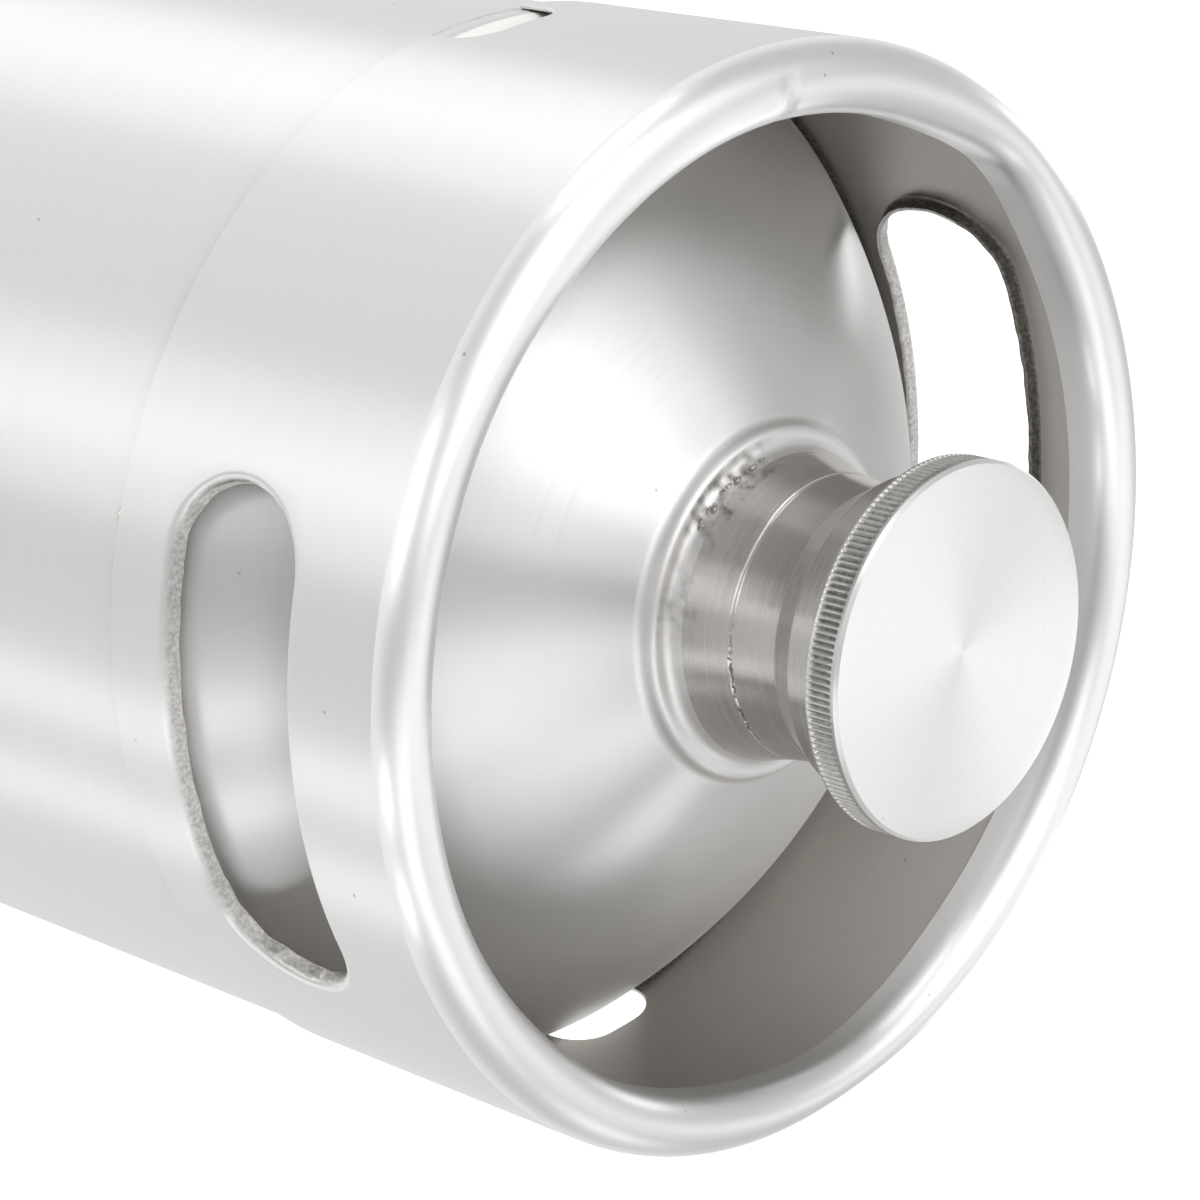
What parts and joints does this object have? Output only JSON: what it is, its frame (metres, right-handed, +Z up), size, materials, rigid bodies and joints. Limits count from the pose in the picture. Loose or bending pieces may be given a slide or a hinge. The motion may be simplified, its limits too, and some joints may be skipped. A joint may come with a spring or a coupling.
{
  "type": "mini keg",
  "caption": "Stainless steel mini keg with a rolled top collar that has two hand holes, a rolled foot ring, a domed top and a welded neck closed by a knurled screw cap.",
  "frame": {"origin": "on the floor, at the keg's axis, under the flat of the foot ring", "axes": "+Z up along the keg's axis, towards the cap; the hand holes face +X and -X, the drain notches +Y and -Y"},
  "size_m": [0.165, 0.165, 0.328],
  "materials": {
    "brushed_sheet": "satin brushed stainless sheet",
    "turned_steel": "turned and ground stainless steel",
    "cap_steel": "fine turned stainless steel with a straight knurl",
    "weld_bead": "dressed weld, a little tinted by heat",
    "silicone": "soft matte silicone"
  },
  "bodies": {
    "keg": {"upper_shell": "brushed_sheet", "lower_shell": "brushed_sheet", "girth_weld": "weld_bead", "spout": "turned_steel", "spout_weld": "weld_bead", "top_collar": "brushed_sheet", "collar_seam_weld": "weld_bead", "collar_tacks": "weld_bead", "foot_ring": "brushed_sheet", "foot_seam_weld": "weld_bead", "foot_tacks": "weld_bead"},
    "seal": {"gasket": "silicone"},
    "screw_cap": {"cap": "cap_steel"}
  },
  "joints": [
    {"name": "cap_lift", "type": "slide", "parent": "keg", "child": "seal", "axis": [0, 0, 1], "range_m": [0, 0.01201]},
    {"name": "cap_turn", "type": "hinge", "parent": "seal", "child": "screw_cap", "pos_m": [0, 0, 0.3], "axis": [0, 0, 1], "range_deg": [0, 1440]}
  ],
  "couplings": [
    {"joint": "cap_lift", "follows": "cap_turn", "m_per_rad": 0.00047746}
  ]
}
